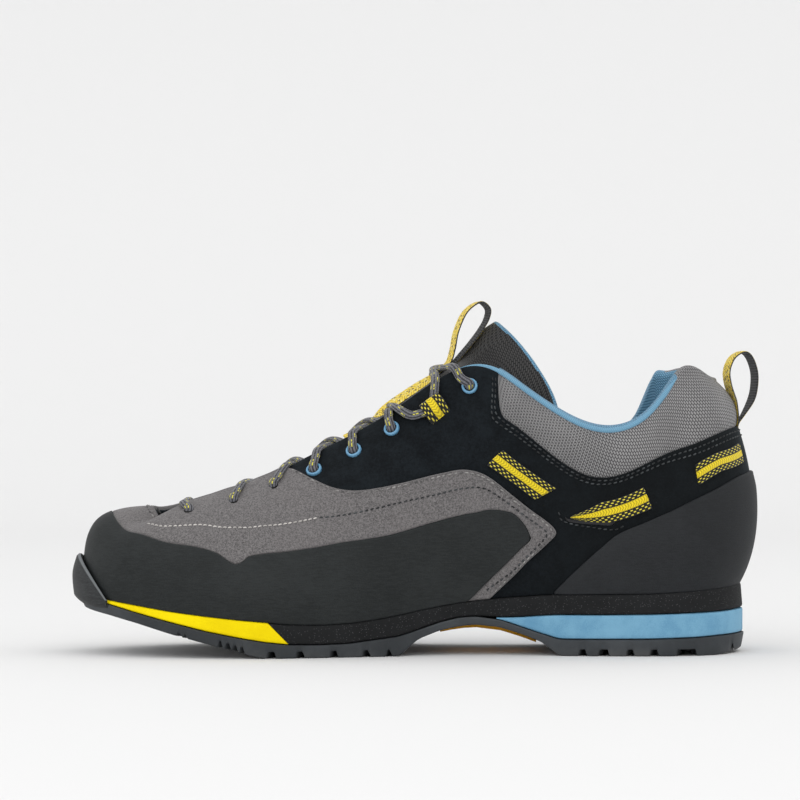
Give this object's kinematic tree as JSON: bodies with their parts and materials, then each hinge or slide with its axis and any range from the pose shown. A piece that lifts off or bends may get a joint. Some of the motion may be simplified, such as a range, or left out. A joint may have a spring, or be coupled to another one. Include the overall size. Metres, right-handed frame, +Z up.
{
  "type": "approach shoe",
  "caption": "Low-cut approach shoe for the right foot: padded collar, suede and rubber overlays, lacing to the toe, two pull loops and a lugged sole with coloured wedges.",
  "frame": {"origin": "on the floor, under the centre of the shoe's bounding box", "axes": "+X from toe to heel, +Y to the lateral side, +Z up"},
  "size_m": [0.2922, 0.105, 0.1502],
  "materials": {
    "sole_rubber": "matte moulded rubber",
    "rand_rubber": "matte rubber with a fine grain",
    "yellow_foam": "matte moulded foam",
    "blue_foam": "matte moulded foam",
    "black_foam": "matte foam with a stippled grain",
    "orange_plate": "moulded plastic",
    "insole_fabric": "knit",
    "nubuck": "fine nap",
    "suede": "suede nap",
    "tongue_mesh": "woven mesh",
    "webbing": "woven tape",
    "blue_eyelet": "satin",
    "lace_cord": "braided cord"
  },
  "bodies": {
    "root": {"outsole": "sole_rubber", "toe_wedge": "yellow_foam", "heel_wedge": "blue_foam", "midsole": "black_foam", "arch_plate": "orange_plate", "insole": "insole_fabric", "upper": "nubuck", "vamp": "suede", "rand": "rand_rubber", "heel_counter": "rand_rubber", "tongue": "tongue_mesh", "tongue_loop": "webbing", "heel_loop": "webbing", "medial_front_webbing": "webbing", "medial_middle_webbing": "webbing", "medial_rear_webbing": "webbing", "lateral_front_webbing": "webbing", "lateral_middle_webbing": "webbing", "lateral_rear_webbing": "webbing", "medial_lace_keeper": "webbing", "lateral_lace_keeper": "webbing", "medial_eyelet_1": "blue_eyelet", "medial_eyelet_2": "blue_eyelet", "medial_eyelet_3": "blue_eyelet", "medial_eyelet_4": "blue_eyelet", "lateral_eyelet_1": "blue_eyelet", "lateral_eyelet_2": "blue_eyelet", "lateral_eyelet_3": "blue_eyelet", "lateral_eyelet_4": "blue_eyelet", "lace_bar": "lace_cord", "lace_cross_1": "lace_cord", "lace_cross_2": "lace_cord", "lace_cross_3": "lace_cord", "lace_cross_4": "lace_cord", "lace_cross_5": "lace_cord", "lace_cross_6": "lace_cord", "lace_cross_7": "lace_cord"}
  },
  "joints": []
}
